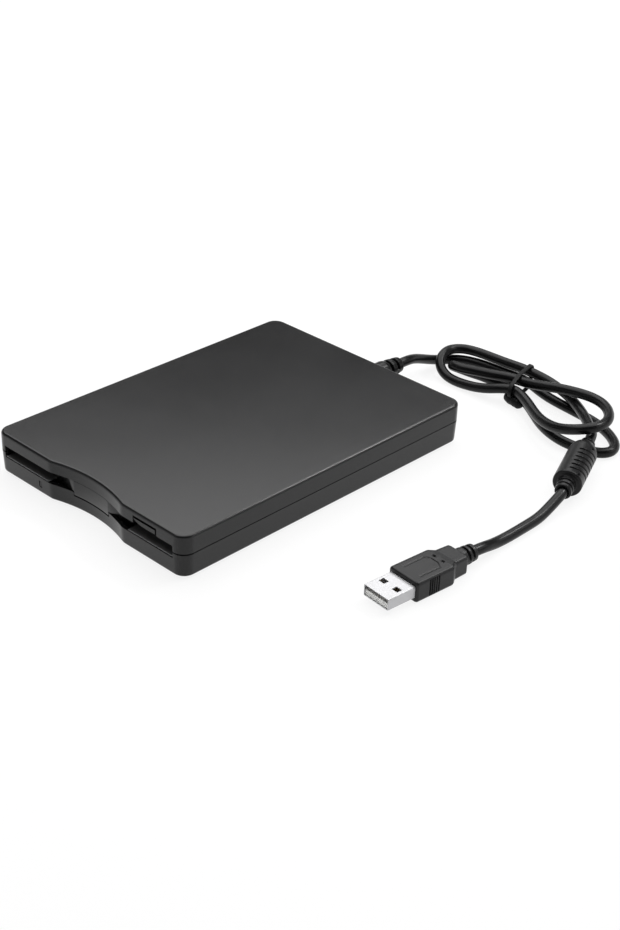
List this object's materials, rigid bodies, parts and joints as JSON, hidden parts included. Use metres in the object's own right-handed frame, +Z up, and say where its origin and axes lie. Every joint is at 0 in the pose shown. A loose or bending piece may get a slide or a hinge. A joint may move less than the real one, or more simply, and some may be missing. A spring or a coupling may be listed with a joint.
{
  "type": "slim external drive for 3.5 inch disks with a USB lead",
  "caption": "Slim charcoal external floppy disk drive with a finger recess, eject button, sprung dust door, tied lead, ferrite bead and USB plug",
  "frame": {"origin": "middle of the drive's footprint, on the surface that its feet stand on", "axes": "+X to the right seen from the front, +Y to the back, +Z up; the front with the slot faces -Y"},
  "size_m": [0.1661, 0.2025, 0.0172],
  "materials": {
    "cover_plastic": "satin, fine grained charcoal",
    "inner_plastic": "matte black, moulded",
    "lens_plastic": "smoked clear plastic",
    "rubber": "soft matte black",
    "screw_steel": "dark zinc plate",
    "zinc_sheet": "zinc plated sheet, dull",
    "bright_steel": "bright turned or drawn steel",
    "white_plastic": "off-white plastic",
    "board": "green solder mask",
    "copper": "enamelled copper windings",
    "ceramic": "dark ferrite or moulded package",
    "brass": "sintered bronze",
    "cord_plastic": "black PVC, semi-gloss",
    "grip_plastic": "dark grey moulded PVC",
    "plated_shell": "nickel plated"
  },
  "bodies": {
    "housing": {"top_cover": "cover_plastic", "bottom_cover": "cover_plastic", "front_bezel": "inner_plastic", "track_zero_sensor": "inner_plastic", "switch_block": "inner_plastic", "light_pipe": "lens_plastic", "activity_lamp": "lens_plastic", "foot_front_left": "rubber", "foot_front_right": "rubber", "foot_rear_left": "rubber", "foot_rear_right": "rubber", "case_screw_front_left": "screw_steel", "case_screw_front_right": "screw_steel", "case_screw_rear_left": "screw_steel", "case_screw_rear_right": "screw_steel", "drive_screw_front_left": "screw_steel", "drive_screw_front_right": "screw_steel", "drive_screw_rear_left": "screw_steel", "drive_screw_rear_right": "screw_steel", "drive_chassis": "zinc_sheet", "drive_lid": "zinc_sheet", "stepper_motor": "zinc_sheet", "door_pin": "bright_steel", "eject_spring": "bright_steel", "guide_rod": "bright_steel", "flat_cable": "white_plastic", "plug_tongue": "white_plastic", "motor_board": "board", "control_board": "board", "usb_board": "board", "stator": "copper", "bridge_chip": "ceramic", "ferrite_core": "ceramic", "spindle_bearing": "brass", "strain_relief": "cord_plastic", "cord_lead": "cord_plastic", "cord_hank": "cord_plastic", "cord_run": "cord_plastic", "cable_tie": "cord_plastic", "ferrite_cover": "grip_plastic", "plug_overmould": "grip_plastic", "plug_shell": "plated_shell"},
    "eject_slide": {"eject_plate": "zinc_sheet", "eject_button": "cover_plastic"},
    "disk_cage": {"disk_carrier": "zinc_sheet"},
    "lever": {"shutter_lever": "zinc_sheet"},
    "head_sled": {"head_carriage": "inner_plastic", "lower_head": "ceramic", "arm_spring": "bright_steel"},
    "head_arm": {"upper_head_arm": "inner_plastic", "upper_head": "ceramic"},
    "screw_shaft": {"lead_screw": "bright_steel"},
    "dust_flap": {"dust_door": "inner_plastic", "door_spring": "bright_steel"},
    "spindle": {"spindle_rotor": "bright_steel", "chuck_plate": "bright_steel", "drive_pin": "bright_steel"},
    "plunger_protect": {"switch_write_protect": "white_plastic"},
    "plunger_disk": {"switch_disk_in": "white_plastic"},
    "plunger_density": {"switch_density": "white_plastic"}
  },
  "joints": [
    {"name": "eject_push", "type": "slide", "parent": "housing", "child": "eject_slide", "axis": [0, -1, 0], "range_m": [0, 0.004]},
    {"name": "cage_drop", "type": "slide", "parent": "housing", "child": "disk_cage", "axis": [0, 0, -1], "range_m": [0, 0.0023]},
    {"name": "lever_swing", "type": "hinge", "parent": "disk_cage", "child": "lever", "pos_m": [-0.038, 0.01, 0.01195], "axis": [0, 0, 1], "range_deg": [0, 65], "stiffness_Nm_per_rad": 0.002},
    {"name": "head_step", "type": "slide", "parent": "housing", "child": "head_sled", "axis": [0, -1, 0], "range_m": [0, 0.0148]},
    {"name": "screw_turn", "type": "hinge", "parent": "housing", "child": "screw_shaft", "pos_m": [0.014, 0.0475, 0.0076], "axis": [0, 1, 0], "range_deg": [0, 1776]},
    {"name": "head_lift", "type": "hinge", "parent": "head_sled", "child": "head_arm", "pos_m": [0, 0.0475, 0.0122], "axis": [1, 0, 0], "range_deg": [0, 10.5]},
    {"name": "flap_swing", "type": "hinge", "parent": "housing", "child": "dust_flap", "pos_m": [0, -0.0674, 0.0131], "axis": [1, 0, 0], "range_deg": [0, 85], "stiffness_Nm_per_rad": 0.002},
    {"name": "spindle_turn", "type": "hinge", "parent": "housing", "child": "spindle", "pos_m": [0, -0.012, 0.0055], "axis": [0, 0, 1], "continuous": true},
    {"name": "press_protect", "type": "slide", "parent": "housing", "child": "plunger_protect", "axis": [0, 0, -1], "range_m": [0, 0.001], "stiffness_N_per_m": 150},
    {"name": "press_disk", "type": "slide", "parent": "housing", "child": "plunger_disk", "axis": [0, 0, -1], "range_m": [0, 0.001], "stiffness_N_per_m": 150},
    {"name": "press_density", "type": "slide", "parent": "housing", "child": "plunger_density", "axis": [0, 0, -1], "range_m": [0, 0.001], "stiffness_N_per_m": 150}
  ],
  "couplings": [
    {"joint": "cage_drop", "follows": "eject_push", "ratio": 0.575},
    {"joint": "head_lift", "follows": "eject_push", "rad_per_m": 45.8},
    {"joint": "screw_turn", "follows": "head_step", "rad_per_m": 2094}
  ]
}
